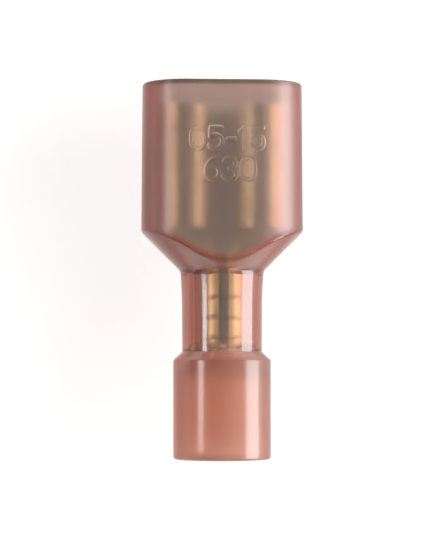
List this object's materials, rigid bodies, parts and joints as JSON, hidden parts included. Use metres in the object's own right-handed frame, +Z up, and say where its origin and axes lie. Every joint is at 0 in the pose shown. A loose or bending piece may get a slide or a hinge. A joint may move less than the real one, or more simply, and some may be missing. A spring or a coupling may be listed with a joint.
{
  "type": "female spade terminal",
  "caption": "Fully insulated female spade terminal: a translucent moulded nylon housing with an oval head and a round wire grip, over a rolled brass receptacle with a crimp barrel.",
  "frame": {"origin": "middle of the bounding box's base, on the surface that the terminal lies on", "axes": "+Y along the terminal from the wire entry to the mouth that takes the tab, +Z up through the two broad faces of the head, towards the open side of the rolled edges, +X across the width"},
  "size_m": [0.0094, 0.022, 0.0061],
  "materials": {
    "translucent_nylon": "translucent pinkish red moulded nylon, satin on the head and glossier on the neck and the grip",
    "brass_strip": "bright rolled brass strip"
  },
  "bodies": {
    "root": {"insulating_housing": "translucent_nylon", "receptacle_terminal": "brass_strip"}
  },
  "joints": []
}
